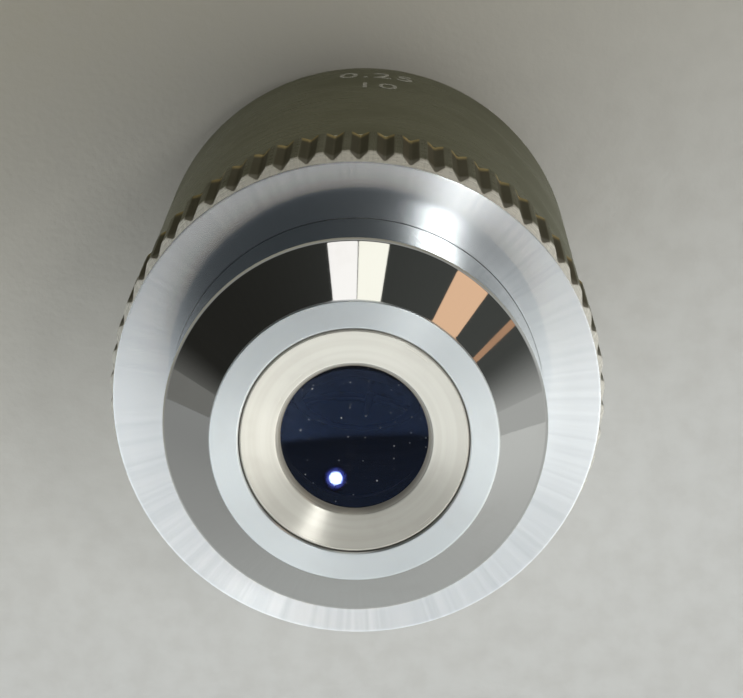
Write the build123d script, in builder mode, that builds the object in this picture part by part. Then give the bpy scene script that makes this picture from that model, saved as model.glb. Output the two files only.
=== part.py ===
"""A low-power microscope objective, standing on its thread end with the optical axis up.

The origin is the middle of the thread's end face, +Z runs along the optical axis to the nose.
All sizes are millimetres. The widths step inwards or outwards from the standard thread, so the
whole objective follows when one of them changes.
"""

import math
import os

from build123d import *

# The standard objective thread, and the shares of its diameter that give the front its outline
thread_diameter = 20.32
neck_ratio = 0.9026
nose_face_ratio = 0.6742
cell_ratio = 0.5285
lens_opening_ratio = 0.3415
stop_ratio = 0.3937  # the hole in the aperture stop

# Driving sizes of the barrel
thread_length = 5.0  # thread end to shoulder
thread_lead_in = 0.5  # chamfer at the start of the thread
thread_wall = 1.76  # round the clear hole through the thread
relief_width = 0.9  # tool relief between thread and shoulder
relief_depth = 0.55
port_step = 3.0  # the clear hole goes on this far past the shoulder
shoulder_width = 1.84  # from the thread to the outside of the barrel
barrel_edge = 0.4  # chamfer at the shoulder's rim
barrel_wall = 0.9  # wall of the thin spigot at the front
shoulder_to_face = 29.6  # shoulder to the flat face of the collar

# Driving sizes of the knurled collar
collar_length = 7.0
collar_web = 1.5  # thickness of the front wall
collar_wall = 1.05  # under the flutes
tooth_height = 0.2  # the teeth stand this far above the barrel
flute_count = 60
flute_depth = 0.25
flute_width = 0.92  # across the mouth of one flute
bevel_width = 0.27  # the taper that thins the tooth ends
bevel_height = 1.2
seam_edge = 0.12  # small chamfer at the seam between collar and barrel

# Driving sizes of the nose
neck_height = 4.5  # above the collar's face
neck_rounding = 0.5  # where the neck turns into the cone
cone_height = 2.5
nose_edge = 0.12  # small chamfer round the nose face
nose_wall = 1.17
web_below_cone = 0.5  # the front wall goes this far below the cone
nose_rim = 0.7  # the rim that the collar clamps
parfocal_shim_thickness = 0.3

# Driving sizes of the front cell and its lenses
cell_rim_edge = 0.08  # chamfer at the rim, half of the dark joint line
cell_recess = 0.05  # the rim stands this far below the nose face
cell_flange = 0.7
dish_slope = 12.0  # degrees
lens_bevel_width = 0.23  # where the dish turns down to the lens
lens_bevel_depth = 0.45
lens_seat_width = 0.7
front_flint_centre = 0.7
front_crown_edge = 0.76
front_cement_ratio = 2.16  # radius of the cemented surface over the lens radius
front_back_ratio = 2.64  # radius of the rear surface over the lens radius
front_ring_width = 0.67
front_ring_thickness = 0.8
front_ring_recess = 0.7  # below the cell's rear end

# Driving sizes of the lens tube, the rear cell and its lenses
tube_room = 0.36  # free space between lens tube and barrel
tube_front_wall = 1.36
tube_rear_wall = 2.1
pair_distance = 13.9  # from the front cell to the seat of the rear stack
separation_shim_thickness = 0.2
stop_thickness = 0.3
rear_cell_wall = 1.82
rear_lip_width = 0.62
rear_lip_thickness = 0.5
rear_flint_centre = 0.9
rear_crown_edge = 0.42
rear_cement_ratio = 2.31
rear_back_ratio = 3.2
rear_ring_width = 0.72
rear_ring_thickness = 0.66
lock_ring_thickness = 1.2
lock_ring_recess = 0.3  # below the tube's rear end
lens_ring_slot = 0.5  # spanner slots
lock_ring_slot = 1.0
slot_overrun = 0.5  # the slot cutter reaches past the ring

# Driving sizes of the light baffle
baffle_wall = 0.8
baffle_web = 0.8
baffle_lip = 2.13

# Clearances
screw_gap = 0.04  # between two pieces that screw together
slide_gap = 0.03  # between a piece and the bore it slides into
cement_gap = 0.01  # the layer of cement between two lenses
end_gap = 0.1  # between the baffle and the lens tube


def sag(radius, r):
    """Height that a sphere of this radius falls at the distance r from the axis."""
    return radius - math.sqrt(radius**2 - r**2)


# Radii that follow, from the thread outwards
thread_r = thread_diameter / 2
relief_r = thread_r - relief_depth
port_r = thread_r - thread_wall
barrel_r = thread_r + shoulder_width
crest_r = barrel_r + tooth_height
root_r = crest_r - flute_depth
flute_cut = 1.2 * flute_depth  # the cutter runs out a little over the teeth
flute_cut_width = 1.2 * flute_width
# and from the collar inwards
collar_bore_r = root_r - collar_wall
spigot_r = collar_bore_r - screw_gap
barrel_bore_r = spigot_r - barrel_wall
face_r = crest_r - bevel_width
neck_r = neck_ratio * thread_r
nose_r = nose_face_ratio * thread_r
nose_bore_r = neck_r - nose_wall
cell_r = cell_ratio * thread_r
cell_bore_r = cell_r + screw_gap
clear_r = lens_opening_ratio * thread_r
bevel_r = clear_r + lens_bevel_width
dish_width = cell_r - cell_rim_edge - bevel_r
front_lens_r = clear_r + lens_seat_width
front_seat_r = front_lens_r + slide_gap
front_ring_r = front_lens_r - front_ring_width
tube_r = barrel_bore_r - tube_room
tube_spigot_r = nose_bore_r - screw_gap
tube_bore_r = tube_spigot_r - tube_front_wall
pocket_r = tube_r - tube_rear_wall
stack_r = pocket_r - slide_gap
rear_seat_r = stack_r - rear_cell_wall
rear_lens_r = rear_seat_r - slide_gap
rear_lip_r = rear_lens_r - rear_lip_width
rear_ring_r = rear_lens_r - rear_ring_width
baffle_r = barrel_bore_r - slide_gap
baffle_bore_r = baffle_r - baffle_wall

# Heights that follow, from the thread end up to the nose
z_shoulder = thread_length
z_port = z_shoulder + port_step
z_face = z_shoulder + shoulder_to_face
z_seam = z_face - collar_length
z_web = z_face - collar_web
z_nose_rear = z_web - nose_rim
z_spigot = z_nose_rear - parfocal_shim_thickness
z_neck = z_face + neck_height
z_tip = z_neck + cone_height
z_cell_seat = z_neck - web_below_cone
z_tube_front = z_cell_seat - cell_flange
# down through the front cell and its lenses
z_cell_rim = z_tip - cell_recess
z_dish = z_cell_rim - dish_width * math.tan(math.radians(dish_slope))
z_front_lens = z_dish - lens_bevel_depth
front_cement_radius = front_cement_ratio * front_lens_r
front_back_radius = front_back_ratio * front_lens_r
front_cement_sag = sag(front_cement_radius, front_lens_r)
front_back_sag = sag(front_back_radius, front_lens_r)
z_front_cement = z_front_lens - front_flint_centre
z_front_crown = z_front_cement - cement_gap
z_front_back = z_front_crown - front_cement_sag - front_crown_edge - front_back_sag
z_front_ring = z_front_back + sag(front_back_radius, front_ring_r)
z_cell_rear = z_front_ring - front_ring_thickness - front_ring_recess
# and down through the rear stack in the lens tube
z_pocket = z_tube_front - pair_distance
z_stop_front = z_pocket - separation_shim_thickness
z_rear_cell_front = z_stop_front - stop_thickness
z_rear_lens = z_rear_cell_front - rear_lip_thickness
rear_cement_radius = rear_cement_ratio * rear_lens_r
rear_back_radius = rear_back_ratio * rear_lens_r
rear_cement_sag = sag(rear_cement_radius, rear_lens_r)
rear_back_sag = sag(rear_back_radius, rear_lens_r)
z_rear_cement = z_rear_lens - rear_flint_centre
z_rear_crown = z_rear_cement - cement_gap
z_rear_back = z_rear_crown - rear_cement_sag - rear_crown_edge - rear_back_sag
z_rear_ring = z_rear_back + sag(rear_back_radius, rear_ring_r)
z_rear_cell_rear = z_rear_ring - rear_ring_thickness
z_lock_rear = z_rear_cell_rear - lock_ring_thickness
z_tube_rear = z_lock_rear - lock_ring_recess


# The barrel carries the standard thread, the locating shoulder and the engraved side
with BuildPart() as barrel:
    with BuildSketch(Plane.XZ):
        with BuildLine():
            Polyline(
                (port_r, 0),
                (thread_r - thread_lead_in, 0),
                (thread_r, thread_lead_in),
                (thread_r, z_shoulder - relief_width),
                (relief_r, z_shoulder - relief_width),
                (relief_r, z_shoulder),
                (barrel_r - barrel_edge, z_shoulder),
                (barrel_r, z_shoulder + barrel_edge),
                (barrel_r, z_seam - seam_edge),
                (barrel_r - seam_edge, z_seam),
                (spigot_r, z_seam),
                (spigot_r, z_spigot),
                (barrel_bore_r, z_spigot),
                (barrel_bore_r, z_port),
                (port_r, z_port),
                close=True,
            )
        make_face()
    revolve(axis=Axis.Z)
barrel.part.label = "barrel"

# The knurled collar screws on to the barrel and clamps the nose by its rim
with BuildPart() as knurled_collar:
    with BuildSketch(Plane.XZ):
        with BuildLine():
            Polyline(
                (collar_bore_r, z_seam),
                (crest_r - seam_edge, z_seam),
                (crest_r, z_seam + seam_edge),
                (crest_r, z_face - bevel_height),
                (face_r, z_face),
                (neck_r + slide_gap, z_face),
                (neck_r + slide_gap, z_web),
                (collar_bore_r, z_web),
                close=True,
            )
        make_face()
    revolve(axis=Axis.Z)
    # Straight flutes, cut along the whole band and out through the bevel
    with BuildSketch(Plane.XY.offset(z_seam)):
        with PolarLocations(root_r, flute_count, start_angle=180 / flute_count):
            Polygon(
                (0, 0),
                (flute_cut, -flute_cut_width / 2),
                (flute_cut, flute_cut_width / 2),
                align=None,
            )
    extrude(amount=collar_length, mode=Mode.SUBTRACT)
knurled_collar.part.label = "knurled_collar"

# The nose is polished from the neck over the cone to the satin face
with BuildPart() as nose:
    with BuildSketch(Plane.XZ):
        with BuildLine():
            Polyline(
                (nose_bore_r, z_nose_rear),
                (spigot_r, z_nose_rear),
                (spigot_r, z_web),
                (neck_r, z_web),
                (neck_r, z_neck),
                (nose_r, z_tip - nose_edge),
                (nose_r - nose_edge, z_tip),
                (cell_bore_r + cell_rim_edge, z_tip),
                (cell_bore_r, z_tip - cell_rim_edge),
                (cell_bore_r, z_cell_seat),
                (nose_bore_r, z_cell_seat),
                close=True,
            )
        nose_profile = make_face()
        corner = nose_profile.vertices().sort_by_distance((neck_r, z_neck))[0]
        fillet(corner, neck_rounding)
    revolve(axis=Axis.Z)
nose.part.label = "nose"

# The front cell has a dished face and is clamped by its flange from behind
with BuildPart() as front_cell:
    with BuildSketch(Plane.XZ):
        with BuildLine():
            Polyline(
                (front_seat_r, z_cell_rear),
                (tube_bore_r - slide_gap, z_cell_rear),
                (tube_bore_r - slide_gap, z_tube_front),
                (nose_bore_r - slide_gap, z_tube_front),
                (nose_bore_r - slide_gap, z_cell_seat),
                (cell_r, z_cell_seat),
                (cell_r, z_cell_rim - cell_rim_edge),
                (cell_r - cell_rim_edge, z_cell_rim),
                (bevel_r, z_dish),
                (clear_r, z_front_lens),
                (front_seat_r, z_front_lens),
                close=True,
            )
        make_face()
    revolve(axis=Axis.Z)
front_cell.part.label = "front_cell"

# The front pair of lenses: a flat-faced flint cemented on a crown
with BuildPart() as front_flint:
    with BuildSketch(Plane.XZ):
        with BuildLine():
            Polyline(
                (0, z_front_cement),
                (0, z_front_lens),
                (front_lens_r, z_front_lens),
                (front_lens_r, z_front_cement - front_cement_sag),
            )
            RadiusArc(
                (front_lens_r, z_front_cement - front_cement_sag),
                (0, z_front_cement),
                -front_cement_radius,
            )
        make_face()
    revolve(axis=Axis.Z)
front_flint.part.label = "front_flint"

with BuildPart() as front_crown:
    with BuildSketch(Plane.XZ):
        with BuildLine():
            Line((0, z_front_back), (0, z_front_crown))
            RadiusArc(
                (0, z_front_crown),
                (front_lens_r, z_front_crown - front_cement_sag),
                front_cement_radius,
            )
            Line(
                (front_lens_r, z_front_crown - front_cement_sag),
                (front_lens_r, z_front_back + front_back_sag),
            )
            RadiusArc(
                (front_lens_r, z_front_back + front_back_sag),
                (0, z_front_back),
                front_back_radius,
            )
        make_face()
    revolve(axis=Axis.Z)
front_crown.part.label = "front_crown"

# The front ring holds the pair in its cell, touching the crown at the edge of its bore
with BuildPart() as front_ring:
    with BuildSketch(Plane.XZ):
        with Locations((front_ring_r, z_front_ring)):
            Rectangle(
                front_ring_width,
                front_ring_thickness,
                align=(Align.MIN, Align.MAX),
            )
    revolve(axis=Axis.Z)
    # Two slots for a pin spanner
    with BuildSketch(Plane.XY.offset(z_front_ring - front_ring_thickness)):
        Rectangle(2 * (front_lens_r + slot_overrun), lens_ring_slot)
    extrude(amount=front_ring_thickness / 2, mode=Mode.SUBTRACT)
front_ring.part.label = "front_ring"

# The lens tube screws into the nose, clamps the front cell and carries the rear cell
with BuildPart() as lens_tube:
    with BuildSketch(Plane.XZ):
        with BuildLine():
            Polyline(
                (pocket_r, z_tube_rear),
                (tube_r, z_tube_rear),
                (tube_r, z_nose_rear),
                (tube_spigot_r, z_nose_rear),
                (tube_spigot_r, z_tube_front),
                (tube_bore_r, z_tube_front),
                (tube_bore_r, z_pocket),
                (pocket_r, z_pocket),
                close=True,
            )
        make_face()
    revolve(axis=Axis.Z)
lens_tube.part.label = "lens_tube"

# A thin shim sets the distance between the two pairs of lenses
with BuildPart() as separation_shim:
    with BuildSketch(Plane.XY.offset(z_stop_front)):
        Circle(stack_r)
        Circle(tube_bore_r, mode=Mode.SUBTRACT)
    extrude(amount=separation_shim_thickness)
separation_shim.part.label = "separation_shim"

# The aperture stop is a blackened disc with a round hole
with BuildPart() as aperture_stop:
    with BuildSketch(Plane.XY.offset(z_rear_cell_front)):
        Circle(stack_r)
        Circle(stop_ratio * thread_r, mode=Mode.SUBTRACT)
    extrude(amount=stop_thickness)
aperture_stop.part.label = "aperture_stop"

# The rear cell holds the rear pair of lenses against a lip
with BuildPart() as rear_cell:
    with BuildSketch(Plane.XZ):
        with BuildLine():
            Polyline(
                (rear_seat_r, z_rear_cell_rear),
                (stack_r, z_rear_cell_rear),
                (stack_r, z_rear_cell_front),
                (rear_lip_r, z_rear_cell_front),
                (rear_lip_r, z_rear_lens),
                (rear_seat_r, z_rear_lens),
                close=True,
            )
        make_face()
    revolve(axis=Axis.Z)
rear_cell.part.label = "rear_cell"

# The rear pair of lenses, also a flat-faced flint cemented on a crown
with BuildPart() as rear_flint:
    with BuildSketch(Plane.XZ):
        with BuildLine():
            Polyline(
                (0, z_rear_cement),
                (0, z_rear_lens),
                (rear_lens_r, z_rear_lens),
                (rear_lens_r, z_rear_cement - rear_cement_sag),
            )
            RadiusArc(
                (rear_lens_r, z_rear_cement - rear_cement_sag),
                (0, z_rear_cement),
                -rear_cement_radius,
            )
        make_face()
    revolve(axis=Axis.Z)
rear_flint.part.label = "rear_flint"

with BuildPart() as rear_crown:
    with BuildSketch(Plane.XZ):
        with BuildLine():
            Line((0, z_rear_back), (0, z_rear_crown))
            RadiusArc(
                (0, z_rear_crown),
                (rear_lens_r, z_rear_crown - rear_cement_sag),
                rear_cement_radius,
            )
            Line(
                (rear_lens_r, z_rear_crown - rear_cement_sag),
                (rear_lens_r, z_rear_back + rear_back_sag),
            )
            RadiusArc(
                (rear_lens_r, z_rear_back + rear_back_sag),
                (0, z_rear_back),
                rear_back_radius,
            )
        make_face()
    revolve(axis=Axis.Z)
rear_crown.part.label = "rear_crown"

# The rear ring holds the rear pair, touching the crown at the edge of its bore
with BuildPart() as rear_ring:
    with BuildSketch(Plane.XZ):
        with Locations((rear_ring_r, z_rear_ring)):
            Rectangle(
                rear_ring_width,
                rear_ring_thickness,
                align=(Align.MIN, Align.MAX),
            )
    revolve(axis=Axis.Z)
    # Two slots for a pin spanner
    with BuildSketch(Plane.XY.offset(z_rear_cell_rear)):
        Rectangle(2 * (rear_lens_r + slot_overrun), lens_ring_slot)
    extrude(amount=rear_ring_thickness / 2, mode=Mode.SUBTRACT)
rear_ring.part.label = "rear_ring"

# The lock ring screws into the lens tube and presses the whole rear stack home
with BuildPart() as lock_ring:
    with BuildSketch(Plane.XY.offset(z_lock_rear)):
        Circle(stack_r)
        Circle(rear_lens_r, mode=Mode.SUBTRACT)
    extrude(amount=lock_ring_thickness)
    # Two slots for a pin spanner
    with BuildSketch(Plane.XY.offset(z_lock_rear)):
        Rectangle(2 * (stack_r + slot_overrun), lock_ring_slot)
    extrude(amount=lock_ring_thickness / 2, mode=Mode.SUBTRACT)
lock_ring.part.label = "lock_ring"

# The parfocal shim sits between the barrel's spigot and the rim of the nose
with BuildPart() as parfocal_shim:
    with BuildSketch(Plane.XY.offset(z_spigot)):
        Circle(spigot_r)
        Circle(barrel_bore_r, mode=Mode.SUBTRACT)
    extrude(amount=parfocal_shim_thickness)
parfocal_shim.part.label = "parfocal_shim"

# The light baffle is a blackened cup pressed into the barrel against the step of its bore
with BuildPart() as light_baffle:
    with BuildSketch(Plane.XZ):
        with BuildLine():
            Polyline(
                (baffle_bore_r - baffle_lip, z_port),
                (baffle_r, z_port),
                (baffle_r, z_tube_rear - end_gap),
                (baffle_bore_r, z_tube_rear - end_gap),
                (baffle_bore_r, z_port + baffle_web),
                (baffle_bore_r - baffle_lip, z_port + baffle_web),
                close=True,
            )
        make_face()
    revolve(axis=Axis.Z)
light_baffle.part.label = "light_baffle"

os.makedirs("parts", exist_ok=True)
export_step(barrel.part, "parts/barrel.step")
export_step(knurled_collar.part, "parts/knurled_collar.step")
export_step(nose.part, "parts/nose.step")
export_step(front_cell.part, "parts/front_cell.step")
export_step(front_flint.part, "parts/front_flint.step")
export_step(front_crown.part, "parts/front_crown.step")
export_step(front_ring.part, "parts/front_ring.step")
export_step(lens_tube.part, "parts/lens_tube.step")
export_step(separation_shim.part, "parts/separation_shim.step")
export_step(aperture_stop.part, "parts/aperture_stop.step")
export_step(rear_cell.part, "parts/rear_cell.step")
export_step(rear_flint.part, "parts/rear_flint.step")
export_step(rear_crown.part, "parts/rear_crown.step")
export_step(rear_ring.part, "parts/rear_ring.step")
export_step(lock_ring.part, "parts/lock_ring.step")
export_step(parfocal_shim.part, "parts/parfocal_shim.step")
export_step(light_baffle.part, "parts/light_baffle.step")
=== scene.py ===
"""A microscope objective on its thread end, dressed for its picture."""

import bmesh
import bpy
import numpy as np
from mathutils import Matrix, Vector


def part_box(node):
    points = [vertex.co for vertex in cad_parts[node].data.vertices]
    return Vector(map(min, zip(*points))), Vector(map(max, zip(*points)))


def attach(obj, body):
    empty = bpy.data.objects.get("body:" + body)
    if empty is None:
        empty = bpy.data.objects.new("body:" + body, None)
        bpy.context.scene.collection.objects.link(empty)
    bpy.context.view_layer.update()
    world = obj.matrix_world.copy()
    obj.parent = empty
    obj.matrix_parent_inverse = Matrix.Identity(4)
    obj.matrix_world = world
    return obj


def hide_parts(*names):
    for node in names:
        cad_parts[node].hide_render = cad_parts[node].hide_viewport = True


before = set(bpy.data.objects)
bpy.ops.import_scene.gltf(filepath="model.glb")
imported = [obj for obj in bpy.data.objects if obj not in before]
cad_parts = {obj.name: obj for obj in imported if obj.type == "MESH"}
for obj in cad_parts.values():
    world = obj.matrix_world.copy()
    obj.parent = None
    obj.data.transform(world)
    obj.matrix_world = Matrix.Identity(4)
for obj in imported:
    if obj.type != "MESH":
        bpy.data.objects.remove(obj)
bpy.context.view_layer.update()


# Barrel. Turned from brass bar and satin chrome plated. Its rear end carries the standard
# objective thread, 36 turns to the inch, cut up to a relief groove below the locating shoulder.
# Its thin front spigot hides under the knurled collar.

MM = 0.001


def turned_outline(corners):
    """Closed outline of a turned piece as (radius, height) points, counter-clockwise.

    Each corner (radius, height, rounding, rows) becomes a circular arc: the conic through its two
    tangent points with the corner as control point, weighted by the sine of half the corner's
    angle. The straight after it has a row near each end, which keeps smooth shading on the arc,
    and as many more rows as asked for.
    """
    corners = np.array(corners, float)
    tip, rounding, rows = corners[:, :2], corners[:, 2:3], corners[:, 3].astype(int)
    back, ahead = np.roll(tip, 1, 0) - tip, np.roll(tip, -1, 0) - tip
    back /= np.linalg.norm(back, axis=1, keepdims=True)
    ahead /= np.linalg.norm(ahead, axis=1, keepdims=True)
    half = np.arccos(np.clip((back * ahead).sum(1, keepdims=True), -1, 1)) / 2
    start, end = tip + back * rounding / np.tan(half), tip + ahead * rounding / np.tan(half)
    s = np.linspace(0, 1, 5)[:, None, None]
    weight = 2 * s * (1 - s) * np.sin(half)
    arcs = ((1 - s) ** 2 * start + weight * tip + s**2 * end) / ((1 - s) ** 2 + weight + s**2)
    span = np.roll(start, -1, 0) - end
    steps = [np.linspace(0.03, 0.97, count + 2)[:, None] for count in rows]
    straights = [end[i] + span[i] * steps[i] for i in range(len(tip))]
    return np.concatenate([np.vstack([arcs[:, i], straights[i]]) for i in range(len(tip))])


def turned(outline, columns, limit=None):
    """Grid of a turned surface: every outline point carried round the axis.

    x = radius times cosine and y = radius times sine of the column's angle, z = height. Where a
    limit is given, for each row and column, the radius stays below it.
    """
    angle = np.arange(columns) * 2 * np.pi / columns
    radius = outline[:, :1] + 0 * angle
    if limit is not None:
        radius = np.minimum(radius, limit(outline[:, 1:], angle))
    height = outline[:, 1:] + 0 * angle
    return np.stack([radius * np.cos(angle), radius * np.sin(angle), height], -1)


def skin(name, grid, ring=True):
    """Mesh of a turned grid in millimetres, one quad to each cell, joined round the axis.

    A ring's outline closes on itself. Otherwise the first and last row lie on the axis, and each
    is merged into one pole.
    """
    rows, columns = grid.shape[:2]
    here = np.arange(rows * columns).reshape(rows, columns)
    up = np.roll(here, -1, 0)
    quads = np.stack([here, np.roll(here, -1, 1), np.roll(up, -1, 1), up], -1)
    quads = quads if ring else quads[:-1]
    mesh = bpy.data.meshes.new(name)
    mesh.from_pydata((grid.reshape(-1, 3) * MM).tolist(), [], quads.reshape(-1, 4).tolist())
    if not ring:
        shape = bmesh.new()
        shape.from_mesh(mesh)
        bmesh.ops.remove_doubles(shape, verts=shape.verts, dist=1e-8)
        shape.to_mesh(mesh)
        shape.free()
    mesh.polygons.foreach_set("use_smooth", np.ones(len(mesh.polygons), bool))
    piece = bpy.data.objects.new(name, mesh)
    bpy.context.scene.collection.objects.link(piece)
    return piece


class Wire:
    """One socket among a material's nodes. Python arithmetic on it adds Math nodes."""

    def __init__(self, tree, socket):
        self.tree, self.socket = tree, socket

    def node(self, kind, settings=(), sockets=(), output=0):
        """Adds a node: its type, its settings, then values or wires for its sockets."""
        made = self.tree.nodes.new(kind)
        for name, value in dict(settings).items():
            setattr(made, name, value)
        for name, value in dict(sockets).items():
            if isinstance(value, Wire):
                self.tree.links.new(value.socket, made.inputs[name])
            else:
                made.inputs[name].default_value = value
        return Wire(self.tree, made.outputs[output])

    def math(self, operation, first, second=0.0):
        return self.node("ShaderNodeMath", {"operation": operation}, {0: first, 1: second})

    def __add__(self, other):
        return self.math("ADD", self, other)

    def __sub__(self, other):
        return self.math("SUBTRACT", self, other)

    def __rsub__(self, other):
        return self.math("SUBTRACT", other, self)

    def __mul__(self, other):
        return self.math("MULTIPLY", self, other)

    def __truediv__(self, other):
        return self.math("DIVIDE", self, other)

    def __pow__(self, other):
        return self.math("POWER", self, other)

    __radd__, __rmul__ = __add__, __mul__

    def step(self, low, high):
        """0 below low, 1 above high, smooth in between."""
        return self.node(
            "ShaderNodeMapRange",
            {"interpolation_type": "SMOOTHSTEP"},
            {"Value": self, "From Min": low, "From Max": high},
        )

    def blend(self, first, second):
        """Colour between two colours, by this mask."""
        return self.node("ShaderNodeMix", {"data_type": "RGBA"}, {0: self, 6: first, 7: second}, 2)


def colour(red, green, blue):
    """A colour with full opacity, for a socket."""
    return (red, green, blue, 1.0)


def finish(name, **fixed):
    """A new material, with the values that hold all over set on its shader, and the place on the
    surface in millimetres."""
    material = bpy.data.materials.new(name)
    material.use_nodes = True
    shader = material.node_tree.nodes["Principled BSDF"]
    for socket, value in fixed.items():
        shader.inputs[socket.replace("_", " ")].default_value = value
    place = material.node_tree.nodes.new("ShaderNodeTexCoord").outputs["Object"]
    place = Wire(material.node_tree, place)
    sockets = {0: place, "Scale": 1 / MM}
    return material, place.node("ShaderNodeVectorMath", {"operation": "SCALE"}, sockets)


def feed(material, **wires):
    """Links what changes over the surface to the material's shader."""
    shader = material.node_tree.nodes["Principled BSDF"]
    for socket, wire in wires.items():
        material.node_tree.links.new(wire.socket, shader.inputs[socket.replace("_", " ")])


def axes(place):
    """Distance from the optical axis, height along it, and the direction round it."""
    x, y, z = (place.node("ShaderNodeSeparateXYZ", {}, {0: place}, axis) for axis in "XYZ")
    radius = (x * x + y * y) ** 0.5
    round_axis = place.node("ShaderNodeCombineXYZ", {}, {0: x / radius, 1: y / radius})
    return radius, z, round_axis


def grain(place, scale, detail=2.0):
    """Cloudy noise about 0.5, with so many clouds to a millimetre."""
    return place.node("ShaderNodeTexNoise", {}, {"Vector": place, "Scale": scale, "Detail": detail})


def turning(place, radius, height, pitch):
    """Noise in rings round the axis, as a lathe tool leaves them, about one pitch apart."""
    x = place.node("ShaderNodeSeparateXYZ", {}, {0: place}, "X")
    rings = place.node("ShaderNodeCombineXYZ", {}, {0: radius / pitch, 1: height / pitch, 2: x * 0.12})
    return place.node("ShaderNodeTexNoise", {}, {"Vector": rings, "Scale": 1.0, "Detail": 1.0})


def bump(wire, depth, strength=1.0):
    """Normal from a height in millimetres."""
    sockets = {"Strength": strength, "Distance": depth * MM, "Height": wire}
    return wire.node("ShaderNodeBump", {}, sockets, "Normal")


thread_r = 10.16
thread_pitch = 25.4 / 36
thread_depth = 0.64 * thread_pitch
thread_bevel = 0.5
relief_z = 4.1
relief_r = 9.61
shoulder_z = 5.0
shoulder_bevel = 0.4
barrel_r = 12.0
bore_r = 8.4
bore_step_z = 8.0
hollow_r = 9.96
spigot_r = 10.86
seam_bevel = 0.12
broken_edge = 0.05
seam_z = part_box("knurled_collar")[0][2] / MM
barrel_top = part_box("barrel")[1][2] / MM


def thread_limit(height, angle):
    """Radius of a right-hand rounded thread: a softened triangle wave of height over pitch less
    the share of a turn, from the root to the crest. Past the relief groove nothing is held back."""
    wave = np.arcsin(0.97 * np.cos(2 * np.pi * height / thread_pitch - angle)) / np.arcsin(0.97)
    radius = thread_r - thread_depth / 2 * (1 - wave)
    return np.where(height < relief_z + 0.01, radius, 99.0)


barrel_outline = turned_outline(
    [
        (bore_r, 0.0, 0.06, 0),
        (thread_r - thread_bevel, 0.0, 0.03, 10),
        (thread_r, thread_bevel, 0.0, 90),
        (thread_r, relief_z, 0.02, 0),
        (relief_r, relief_z, broken_edge, 0),
        (relief_r, shoulder_z, broken_edge, 0),
        (barrel_r - shoulder_bevel, shoulder_z, broken_edge, 0),
        (barrel_r, shoulder_z + shoulder_bevel, 0.12, 4),
        (barrel_r, seam_z - seam_bevel, 0.04, 0),
        (barrel_r - seam_bevel, seam_z, 0.02, 0),
        (spigot_r, seam_z, broken_edge, 0),
        (spigot_r, barrel_top, broken_edge, 0),
        (hollow_r, barrel_top, broken_edge, 0),
        (hollow_r, bore_step_z, broken_edge, 0),
        (bore_r, bore_step_z, broken_edge, 0),
    ]
)
barrel = skin("satin_barrel", turned(barrel_outline, 288, thread_limit))

satin_chrome, place = finish(
    "satin chrome",
    Metallic=1.0,
    Anisotropic=0.35,
    Anisotropic_Rotation=0.25,
    Specular_Tint=colour(0.58, 0.58, 0.5),
)
radius, height, round_axis = axes(place)
rings = turning(place, radius, height, 0.05)
patina = grain(place, 0.16, 3.0)
specks = grain(place, 3.2, 4.0).step(0.63, 0.72)
worn = (radius - (barrel_r - 0.16)).step(0.0, 0.12) * height.step(5.75, 5.45)
in_thread = height.step(shoulder_z - 0.1, shoulder_z - 0.3) * radius.step(thread_r - 0.1, thread_r - 0.4)
# Painted shade: the plating colours, and the edge tint set on the material, are far darker than the
# chrome of the collar's face, as shade on the barrel's sides.
plating_and_painted_light = patina.step(0.35, 0.7).blend(colour(0.285, 0.292, 0.232), colour(0.23, 0.236, 0.18))
plating_and_painted_light = (specks * 0.35).blend(plating_and_painted_light, colour(0.2, 0.19, 0.16))
plating_and_painted_light = (worn * 0.5).blend(plating_and_painted_light, colour(0.5, 0.48, 0.4))
plating_and_painted_light = (in_thread * 0.75).blend(plating_and_painted_light, colour(0.1, 0.09, 0.07))
feed(
    satin_chrome,
    Base_Color=plating_and_painted_light,
    Roughness=0.22 + 0.1 * rings + 0.06 * patina.step(0.4, 0.75) + 0.15 * in_thread - 0.06 * worn,
    Normal=bump(rings, 0.006, 0.5),
)
barrel.data.materials.append(satin_chrome)
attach(barrel, "root")
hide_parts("barrel")


# Numerals. The plain numbers that such objectives carry, engraved round the barrel near the
# thread with their tops towards it, and filled with pale enamel that has chipped.


def numerals(name, words, size, centre_z):
    """Flat text of the given size bent round the barrel: its width becomes the angle, width over
    radius, about the -Y side, its height becomes the height along the axis, turned upside down."""
    text = bpy.data.curves.new(name, "FONT")
    text.body, text.size, text.align_x, text.align_y = words, size, "CENTER", "CENTER"
    text.extrude, text.space_character = 0.03, 1.12
    flat = bpy.data.objects.new(name, text)
    mesh = bpy.data.meshes.new_from_object(flat)
    bpy.data.objects.remove(flat)
    bpy.data.curves.remove(text)
    points = np.empty(len(mesh.vertices) * 3)
    mesh.vertices.foreach_get("co", points)
    across, along, depth = points.reshape(-1, 3).T
    angle = -np.pi / 2 - across / barrel_r
    radius = barrel_r - 0.012 + depth
    bent = np.stack([radius * np.cos(angle), radius * np.sin(angle), centre_z - along], -1)
    mesh.vertices.foreach_set("co", (bent * MM).ravel())
    piece = bpy.data.objects.new(name, mesh)
    bpy.context.scene.collection.objects.link(piece)
    return piece


enamel, place = finish("pale enamel", Coat_Roughness=0.2)
chips = grain(place, 6.0, 4.0).step(0.55, 0.68)
feed(
    enamel,
    Base_Color=chips.blend(colour(0.38, 0.385, 0.33), colour(0.12, 0.12, 0.1)),
    Roughness=0.4 + 0.3 * chips,
    Normal=bump(grain(place, 9.0, 3.0), 0.01, 0.6),
)
for name, words, size, centre_z in (
    ("aperture_numerals", "0.25", 2.3, 8.2),
    ("power_numerals", "10", 2.3, 11.8),
):
    line = numerals(name, words, size, centre_z)
    line.data.materials.append(enamel)
    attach(line, "root")


# Blackened pieces inside: the lens tube, the rear cell with its ring, the aperture stop, the
# locking ring, the front lens ring and the light baffle. Turned brass, chemically blackened so
# that no stray light gets past the lenses.

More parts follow.
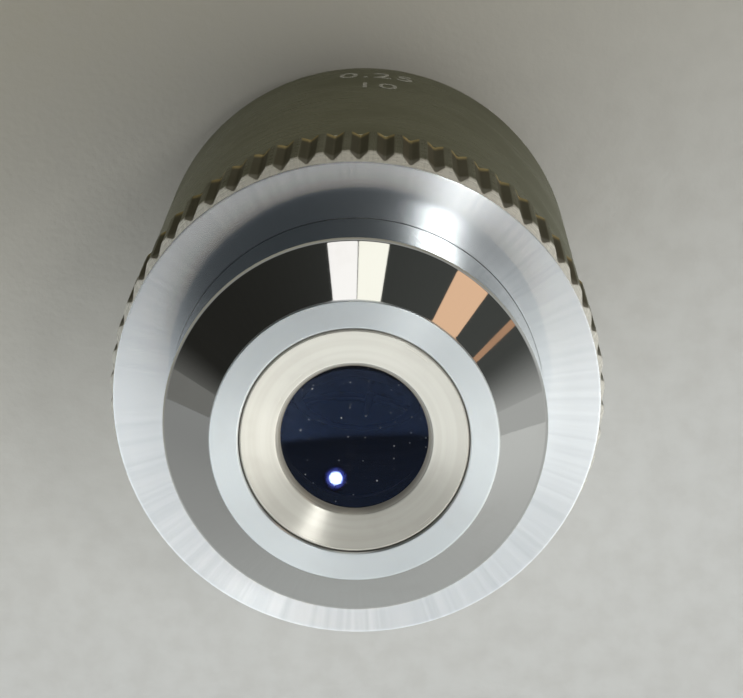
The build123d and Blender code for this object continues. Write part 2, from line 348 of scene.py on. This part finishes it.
black_brass, place = finish("blackened brass", Metallic=0.6)
radius, height, round_axis = axes(place)
rings = turning(place, radius, height, 0.12)
rubbed = grain(place, 1.4, 5.0).step(0.6, 0.78)
feed(
    black_brass,
    Base_Color=(rubbed * 0.6).blend(colour(0.012, 0.012, 0.013), colour(0.06, 0.05, 0.035)),
    Roughness=0.5 + 0.25 * rings - 0.1 * rubbed,
    Normal=bump(rings, 0.02, 0.6),
)
black_nodes = "light_baffle lens_tube aperture_stop rear_cell rear_ring lock_ring front_ring".split()
for node in black_nodes:
    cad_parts[node].data.materials.clear()
    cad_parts[node].data.materials.append(black_brass)


# Thin rings that set the distance between the lens pairs and the parfocal height. Punched from
# brass shim and left bare.

shim_brass, place = finish("bare shim brass", Metallic=1.0)
tarnish = grain(place, 0.9, 5.0).step(0.35, 0.7)
scuffs = grain(place, 7.0, 3.0)
feed(
    shim_brass,
    Base_Color=tarnish.blend(colour(0.72, 0.5, 0.2), colour(0.42, 0.27, 0.1)),
    Roughness=0.25 + 0.2 * tarnish + 0.1 * scuffs,
    Normal=bump(scuffs, 0.006, 0.5),
)
for node in ("separation_shim", "parfocal_shim"):
    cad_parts[node].data.materials.clear()
    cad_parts[node].data.materials.append(shim_brass)


# Lenses. Two cemented pairs of optical glass with a blue-violet coating. The rear pair stays as
# the CAD has it. The front pair is drawn as the one block that its cement makes of it: a flat
# outer face, a ground edge, and a rear surface of 11 mm radius, with a little dust on it.

lens_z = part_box("front_flint")[1][2] / MM
lens_rear_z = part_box("front_crown")[0][2] / MM
lens_r = 4.17
lens_back_radius = 11.0
rear_edge_z = lens_rear_z + lens_back_radius - (lens_back_radius**2 - lens_r**2) ** 0.5
lens_rows = 40
out = np.linspace(0.0, 1.0, lens_rows)[:, None] ** 0.8
back_r = out * (lens_r - 0.08)
back_z = lens_rear_z + lens_back_radius - (lens_back_radius**2 - back_r**2) ** 0.5
back = np.hstack([back_r, back_z])
edge_heights = [rear_edge_z + 0.05, rear_edge_z + 0.1, lens_z - 0.12, lens_z - 0.07]
edge = np.stack([np.full(4, lens_r), edge_heights], -1)
face = np.hstack([out[::-1] * (lens_r - 0.07), np.full((lens_rows, 1), lens_z)])
lens_outline = np.vstack([back, edge, face])
front_pair = skin("coated_front_lens_pair", turned(lens_outline, 128), ring=False)

coated_glass, place = finish(
    "coated lens glass",
    Base_Color=colour(0.93, 0.97, 1.0),
    Roughness=0.0,
    IOR=1.56,
    Transmission_Weight=1.0,
    Specular_Tint=colour(0.13, 0.21, 0.46),
)
cells = place.node("ShaderNodeTexVoronoi", {}, {"Vector": place, "Scale": 2.7}, "Distance")
chance = place.node("ShaderNodeTexVoronoi", {}, {"Vector": place, "Scale": 2.7}, "Color")
chance = place.node("ShaderNodeSeparateColor", {}, {0: chance})
dust = cells.step(0.12, 0.075) * chance.step(0.56, 0.7)
motes = place.node("ShaderNodeBsdfDiffuse", {}, {"Color": colour(0.6, 0.6, 0.58)})
glass_out = coated_glass.node_tree.nodes["Material Output"].inputs["Surface"]
glass = Wire(coated_glass.node_tree, coated_glass.node_tree.nodes["Principled BSDF"].outputs[0])
film = 0.002 + 0.006 * grain(place, 0.8, 4.0)
mixed = place.node("ShaderNodeMixShader", {}, {0: film + dust * 0.75, 1: glass, 2: motes})
coated_glass.node_tree.links.new(mixed.socket, glass_out)
front_pair.data.materials.append(coated_glass)
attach(front_pair, "root")
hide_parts("front_flint", "front_crown")
for node in ("rear_flint", "rear_crown"):
    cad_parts[node].data.materials.clear()
    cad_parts[node].data.materials.append(coated_glass)


# Front cell. Turned from nickel silver and left bare: a shallow dish with fine tool rings that
# falls to the lens, with a bevelled edge. It drops into the nose from behind, and the lens tube
# clamps its flange.

cell_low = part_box("front_cell")[0][2] / MM
cell_r = 5.37
cell_bore_r = 4.2
cell_body_r = 6.57
cell_flange_r = 7.97
cell_flange_z = 37.9
nose_seat_z = 38.6
cell_rim_z = 41.55
cell_rim_bevel = 0.08
dish_r = 3.70
dish_slope = np.radians(12.0)
dish_z = cell_rim_z - (cell_r - cell_rim_bevel - dish_r) * np.tan(dish_slope)
window_r = 3.47
window_bevel = 0.45
lens_seat_z = lens_z + 0.004
cell_outline = turned_outline(
    [
        (cell_bore_r, cell_low, broken_edge, 0),
        (cell_body_r, cell_low, broken_edge, 0),
        (cell_body_r, cell_flange_z, broken_edge, 0),
        (cell_flange_r, cell_flange_z, broken_edge, 0),
        (cell_flange_r, nose_seat_z, broken_edge, 0),
        (cell_r, nose_seat_z, broken_edge, 0),
        (cell_r, cell_rim_z - cell_rim_bevel, 0.02, 0),
        (cell_r - cell_rim_bevel, cell_rim_z, 0.03, 3),
        (dish_r, dish_z, 0.1, 0),
        (window_r, dish_z - window_bevel, 0.02, 0),
        (window_r, lens_seat_z, 0.0, 0),
        (cell_bore_r, lens_seat_z, 0.02, 0),
    ]
)
front_cell = skin("dished_front_cell", turned(cell_outline, 192))

nickel_silver, place = finish(
    "bare nickel silver",
    Metallic=0.38,
    Anisotropic=0.92,
    Anisotropic_Rotation=0.25,
)
radius, height, round_axis = axes(place)
rings = turning(place, radius, height, 0.035)
bands = turning(place, radius, height, 0.25)
haze = grain(place, 0.5, 4.0)
# Painted shade with some grime: darker at the rim by the nose and on the bevel down to the lens.
grime_and_painted_shade = radius.step(cell_r - 0.09, cell_r) * 0.35 + radius.step(3.7, 3.5) * 0.7
metal = bands.step(0.3, 0.7).blend(colour(0.65, 0.635, 0.565), colour(0.6, 0.585, 0.515))
metal = (haze.step(0.5, 0.75) * 0.35).blend(metal, colour(0.5, 0.48, 0.42))
metal = (grime_and_painted_shade * 0.9).blend(metal, colour(0.14, 0.12, 0.09))
feed(
    nickel_silver,
    Base_Color=metal,
    Roughness=0.2 + 0.06 * rings + 0.05 * haze + 0.2 * grime_and_painted_shade,
    Normal=bump(rings, 0.005, 0.5),
)
front_cell.data.materials.append(nickel_silver)
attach(front_cell, "root")
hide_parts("front_cell")


# Nose. Turned brass, chrome plated: neck and cone are polished to a mirror and meet in a soft
# corner, the ring-shaped front face is left satin. Its rim sits on the parfocal shim, where the
# collar clamps it.

nose_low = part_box("nose")[0][2] / MM
nose_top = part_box("nose")[1][2] / MM
nose_bore_r = 8.0
nose_rim_top = nose_low + 0.7
neck_r = 9.17
cone_z = 39.1
cone_rounding = 0.5
nose_face_r = 6.85
nose_face_bevel = 0.12
mouth_r = 5.41
mouth_bevel = 0.08
nose_outline = turned_outline(
    [
        (nose_bore_r, nose_low, broken_edge, 0),
        (spigot_r, nose_low, broken_edge, 0),
        (spigot_r, nose_rim_top, broken_edge, 0),
        (neck_r, nose_rim_top, broken_edge, 3),
        (neck_r, cone_z, cone_rounding, 3),
        (nose_face_r, nose_top - nose_face_bevel, 0.04, 0),
        (nose_face_r - nose_face_bevel, nose_top, 0.04, 2),
        (mouth_r + mouth_bevel, nose_top, 0.03, 0),
        (mouth_r, nose_top - mouth_bevel, 0.02, 0),
        (mouth_r, nose_seat_z, broken_edge, 0),
        (nose_bore_r, nose_seat_z, broken_edge, 0),
    ]
)
nose = skin("polished_nose", turned(nose_outline, 256))

polished_chrome, place = finish(
    "polished chrome",
    Metallic=1.0,
    Anisotropic=0.75,
    Anisotropic_Rotation=0.25,
)
radius, height, round_axis = axes(place)
face = height.step(nose_top - 0.1, nose_top - 0.04)
# Painted shade: darker along the joint with the front cell round the mouth.
joint_shade = height.step(nose_top - 0.02, nose_top - 0.1) * radius.step(5.6, 5.5)
rings = turning(place, radius, height, 0.04)
streaks = grain(round_axis, 30.0, 3.0)
smears = grain(place, 0.35, 4.0).step(0.5, 0.8)
chrome = face.blend(colour(0.65, 0.67, 0.67), colour(0.66, 0.705, 0.71))
chrome = (smears * 0.25).blend(chrome, colour(0.5, 0.5, 0.48))
chrome = (joint_shade * 0.8).blend(chrome, colour(0.25, 0.23, 0.2))
feed(
    polished_chrome,
    Base_Color=chrome,
    Roughness=0.05 + 0.03 * smears + face * (0.19 + 0.06 * rings + 0.06 * streaks) + 0.25 * joint_shade,
    Normal=bump(rings * face, 0.005, 0.5),
)
nose.data.materials.append(polished_chrome)
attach(nose, "root")
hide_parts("nose")


# Knurled collar. Turned brass, chrome plated and screwed on to the barrel's spigot. Sixty
# straight flutes are cut along its band. It tapers slightly at the nose end, so each tooth ends in
# a small facet round the flat satin face, painted light as a highlight. The band's plating is
# painted dark as shade, and the rear ends of the flutes are painted brassy as glints.

collar_low = seam_z
collar_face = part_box("knurled_collar")[1][2] / MM
crest_r = 12.2
flute_count = 60
flute_depth = 0.25
flute_width = 0.92
taper_width = 0.27
taper_height = 1.2
taper_z = collar_face - taper_height
taper_slope = taper_width / taper_height
collar_bevel = 0.12
collar_bore_r = 10.9
collar_mouth_r = 9.18
collar_wall_z = collar_face - 1.5


def flute_limit(height, angle):
    """Radius between the flutes: the crest, less a V across each flute's mouth whose edges and
    bottom are softened, as the square root of the V squared plus a small square is."""
    turn = angle * flute_count / (2 * np.pi) - 0.5
    off_centre = np.abs(turn - np.round(turn)) * 2 * np.pi * crest_r / flute_count
    wall = 1 - off_centre / (flute_width / 2)
    softened = (wall + np.sqrt(wall**2 + 0.001)) / 2
    return crest_r - flute_depth * np.minimum(softened, 1.06 - 0.16 * softened) + 0 * height


collar_outline = turned_outline(
    [
        (collar_bore_r, collar_low, broken_edge, 0),
        (crest_r - collar_bevel, collar_low, 0.02, 4),
        (crest_r, collar_low + collar_bevel, 0.03, 8),
        (crest_r, taper_z, 0.03, 16),
        (crest_r - taper_width, collar_face, 0.03, 6),
        (collar_mouth_r, collar_face, 0.01, 0),
        (collar_mouth_r, collar_wall_z, broken_edge, 0),
        (collar_bore_r, collar_wall_z, broken_edge, 0),
    ]
)
collar = skin("fluted_collar", turned(collar_outline, flute_count * 16, flute_limit))

collar_chrome, place = finish(
    "satin chrome, knurled",
    Anisotropic=0.95,
    Anisotropic_Rotation=0.25,
    Specular_Tint=colour(0.5, 0.5, 0.45),
)
radius, height, round_axis = axes(place)
face = height.step(collar_face - 0.05, collar_face - 0.02)
taper = height.step(taper_z - 0.7, taper_z - 0.1) * (1 - face)
land = crest_r - taper_slope * (height - taper_z).math("MAXIMUM", height - taper_z, 0.0)
hollow = (land - radius).step(0.004, 0.04) * (1 - face)
rings = turning(place, radius, height, 0.05)
streaks = grain(round_axis, 34.0, 4.0)
patina = grain(place, 0.3, 5.0)
ends = hollow * height.step(collar_low + 1.1, collar_low + 0.1)
# Painted shade: the band's plating colours, and the edge tint set on the material, are far darker than
# the chrome of the face.
plating_and_painted_light = patina.step(0.35, 0.7).blend(colour(0.27, 0.27, 0.22), colour(0.22, 0.22, 0.17))
# Painted highlight: the facets of the taper are near white and less metallic than the chrome.
plating_and_painted_light = (taper * 0.9).blend(plating_and_painted_light, colour(0.86, 0.85, 0.78))
plating_and_painted_light = (hollow * 0.75).blend(plating_and_painted_light, colour(0.09, 0.08, 0.055))
# Painted glints: brassy at the rear ends of the flutes.
plating_and_painted_light = (ends * 0.8).blend(plating_and_painted_light, colour(0.62, 0.5, 0.24))
bright = streaks.step(0.3, 0.75).blend(colour(0.77, 0.805, 0.815), colour(0.7, 0.735, 0.75))
plating_and_painted_light = face.blend(plating_and_painted_light, bright)
feed(
    collar_chrome,
    Base_Color=plating_and_painted_light,
    Metallic=1 - 0.75 * taper * (1 - hollow),
    Roughness=0.23 + 0.05 * streaks + (1 - face) * (0.04 * rings + 0.1 * hollow),
    Normal=bump(rings * (1 - face), 0.003, 0.3),
)
collar.data.materials.append(collar_chrome)
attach(collar, "root")
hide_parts("knurled_collar")


# Studio. A pale floor under the thread end, painted darker and warmer towards -Y and +X as
# shade, a soft half dome of light in front of it, dark cards behind it for the polished cone,
# lamps and coloured cards whose reflections show in the metal and the lens, and the camera above
# the nose.


def stage_sheet(name, points, faces):
    """A plain mesh that belongs to the studio, from its corner points in metres."""
    mesh = bpy.data.meshes.new(name)
    mesh.from_pydata(points, [], faces)
    sheet = bpy.data.objects.new(name, mesh)
    bpy.context.scene.collection.objects.link(sheet)
    return sheet


def seen(start):
    """1 for what the camera sees, straight or in metal and glass, and 0 for light that it sheds."""
    rays = ("Is Camera Ray", "Is Glossy Ray", "Is Transmission Ray")
    camera, glossy, through = (start.node("ShaderNodeLightPath", {}, {}, ray) for ray in rays)
    return (camera + glossy + through).step(0.0, 1.0)


nothing = colour(0.0, 0.0, 0.0)
left_haze = colour(0.2, 0.195, 0.18)
right_haze = colour(0.52, 0.515, 0.49)
reach = 4.0
corners = [(-reach, -reach, 0), (reach, -reach, 0), (reach, reach, 0), (-reach, reach, 0)]
floor = stage_sheet("floor", corners, [(0, 1, 2, 3)])
floor_paint, place = finish("pale floor", Emission_Strength=1.0)
x, y = (place.node("ShaderNodeSeparateXYZ", {}, {0: place}, axis) for axis in "XY")
speckle = grain(place, 0.6, 5.0).step(0.3, 0.75)
# Painted shade: the floor is darker and warmer towards -Y and +X.
warm_shaded_paint = colour(0.33, 0.305, 0.235)
pale_paint = colour(0.575, 0.578, 0.552)
paint = (y - 0.5 * x).step(-34.0, 26.0).blend(warm_shaded_paint, pale_paint)
paint = (speckle * 0.2).blend(paint, colour(0.4, 0.385, 0.35))
far = ((x * x + y * y) ** 0.5).step(55.0, 170.0) * seen(place)
haze = x.step(400.0, -400.0).blend(left_haze, right_haze)
feed(
    floor_paint,
    Base_Color=far.blend(paint, nothing),
    Emission_Color=far.blend(nothing, haze),
    Roughness=0.6 + 0.2 * speckle,
    Normal=bump(grain(place, 2.0, 3.0), 0.08, 0.3),
)
floor.data.materials.append(floor_paint)

card_distance = 0.36
card_foot = 0.001
card_height = 0.2
card_columns = 60
angle = np.radians(np.linspace(170, 370, card_columns))
foot = np.full(card_columns, card_foot)
low = np.stack([card_distance * np.cos(angle), card_distance * np.sin(angle), foot], -1)
wall = np.vstack([low, low + (0, 0, card_height)])
here = np.arange(card_columns - 1)
above = here + card_columns
faces = np.stack([here, here + 1, above + 1, above], -1)
cards = stage_sheet("dark cards", wall.tolist(), faces.tolist())
cards.visible_camera = cards.visible_diffuse = cards.visible_shadow = cards.visible_transmission = False
card_paper, place = finish("dark card", Base_Color=nothing, Roughness=0.9, Emission_Strength=1.0)
x, y = (place.node("ShaderNodeSeparateXYZ", {}, {0: place}, axis) for axis in "XY")
from_right, from_left = (place.math("ARCTAN2", 0 - y, side) for side in (0 - x, x))
ends = from_right.step(0.34, -0.12) + from_left.step(0.2, -0.16)
haze = x.step(400.0, -400.0).blend(left_haze, right_haze)
dark = x.step(330.0, -330.0).blend(colour(0.006, 0.0055, 0.003), colour(0.058, 0.06, 0.054))
feed(card_paper, Emission_Color=ends.blend(dark, haze))
cards.data.materials.append(card_paper)

nose_centre = Vector((0, 0, 0.0395))


def soft_box(name, direction, distance, width, height, radiance, tint=(1, 1, 1)):
    """Area lamp in a direction from the nose, facing it, with sizes in metres. Its power is the
    radiance times pi times its area."""
    direction = Vector(direction).normalized()
    lamp = bpy.data.lights.new(name, "AREA")
    lamp.shape, lamp.size, lamp.size_y = "RECTANGLE", width, height
    lamp.energy, lamp.color = radiance * np.pi * width * height, tint
    box = bpy.data.objects.new(name, lamp)
    facing = direction.to_track_quat("Z", "Y").to_matrix().to_4x4()
    box.matrix_world = Matrix.Translation(nose_centre + direction * distance) @ facing
    box.visible_camera = False
    bpy.context.scene.collection.objects.link(box)
    return box


key = soft_box("key lamp", (-0.215, -0.26, 0.941), 0.25, 0.024, 0.024, 36.0)
glow = soft_box("side glow", (-0.25, -0.06, 0.966), 0.3, 0.11, 0.1, 0.45)
right_wing = soft_box("right wing", (-0.42, 0.12, 0.9), 0.34, 0.2, 0.1, 0.7)
left_wing = soft_box("left wing", (0.44, 0.24, 0.865), 0.34, 0.14, 0.09, 0.25)
for box in (key, glow, right_wing, left_wing):
    box.visible_transmission = False
soft_box("left window pane", (0.157, -0.983, 0.186), 0.3, 0.06, 0.1, 1.4, (1.0, 0.95, 0.92))
soft_box("right window pane", (-0.05, -0.983, 0.186), 0.3, 0.06, 0.1, 1.4, (1.0, 0.96, 0.85))
soft_box("warm card", (-0.68, -0.725, 0.113), 0.3, 0.073, 0.1, 1.0, (1.0, 0.6, 0.36))
soft_box("warm edge", (-0.8957, -0.4383, 0.07), 0.3, 0.014, 0.1, 0.5, (1.0, 0.5, 0.25))

eye = Vector((0, -0.03647, 0.16593))
spot = Vector((0.00076, 0.00207, lens_z * MM))
bulb_place = spot + 0.25 * (spot - eye).reflect(Vector((0, 0, 1))).normalized()
facing = (bulb_place - nose_centre).to_track_quat("Z", "Y").to_matrix()
# The bulb is a glowing disc that lights nothing and shows only to mirror-like rays: a painted reflection
# of a bulb, with a painted blue halo round it.
bulb_r = 0.0018
angle = np.linspace(0, 2 * np.pi, 32, endpoint=False)
rim = [bulb_place + facing @ Vector((np.cos(a), np.sin(a), 0)) * bulb_r for a in angle]
bulb = stage_sheet("bulb seen in the lens", rim, [tuple(range(len(rim)))])
bulb.visible_camera = bulb.visible_diffuse = bulb.visible_transmission = bulb.visible_shadow = False
bulb_glass, place = finish("lit bulb", Base_Color=nothing, Emission_Strength=300.0)
ends = {0: place, 1: bulb_place / MM}
off_centre = place.node("ShaderNodeVectorMath", {"operation": "DISTANCE"}, ends, "Value")
halo = off_centre.step(1.7, 0.7).blend(nothing, colour(0.03, 0.025, 0.06))
feed(bulb_glass, Emission_Color=off_centre.step(1.05, 0.4).blend(halo, colour(1.0, 0.8, 0.5)))
bulb.data.materials.append(bulb_glass)

world = bpy.data.worlds.new("pale room")
world.use_nodes = True
room = world.node_tree.nodes["Background"]
start = Wire(world.node_tree, world.node_tree.nodes.new("ShaderNodeTexCoord").outputs["Object"])
x, y, z = (start.node("ShaderNodeSeparateXYZ", {}, {0: start}, axis) for axis in "XYZ")
panel = x.step(-0.2, -0.85).blend(colour(1.33, 1.37, 1.41), colour(2.2, 2.16, 2.07))
through = start.node("ShaderNodeLightPath", {}, {}, "Is Transmission Ray")
lean = y - 0.12 * x + 0.95 * x * x * (1 - through) + 0.17 * through
dome = lean.step(0.25, 0.36).blend(colour(0.05, 0.056, 0.062), panel)
haze = x.step(0.9, -0.9).blend(left_haze, right_haze)
low_down = z.step(0.22, 0.05) * seen(start)
world.node_tree.links.new(low_down.blend(dome, haze).socket, room.inputs["Color"])
bpy.context.scene.world = world

lens = bpy.data.cameras.new("camera")
lens.sensor_fit, lens.sensor_width, lens.lens = "HORIZONTAL", 36.0, 134.94
lens.clip_start, lens.clip_end = 0.01, 10.0
camera = bpy.data.objects.new("camera", lens)
right = Vector((-0.9981, -0.0609, -0.0114)).normalized()
back = Vector((0.0039, -0.249, 0.9685))
back = (back - right * back.dot(right)).normalized()
turn = Matrix((right, back.cross(right), back)).transposed().to_4x4()
camera.matrix_world = Matrix.Translation(eye) @ turn
bpy.context.scene.collection.objects.link(camera)
bpy.context.scene.camera = camera
bpy.context.scene.view_settings.view_transform = "Standard"
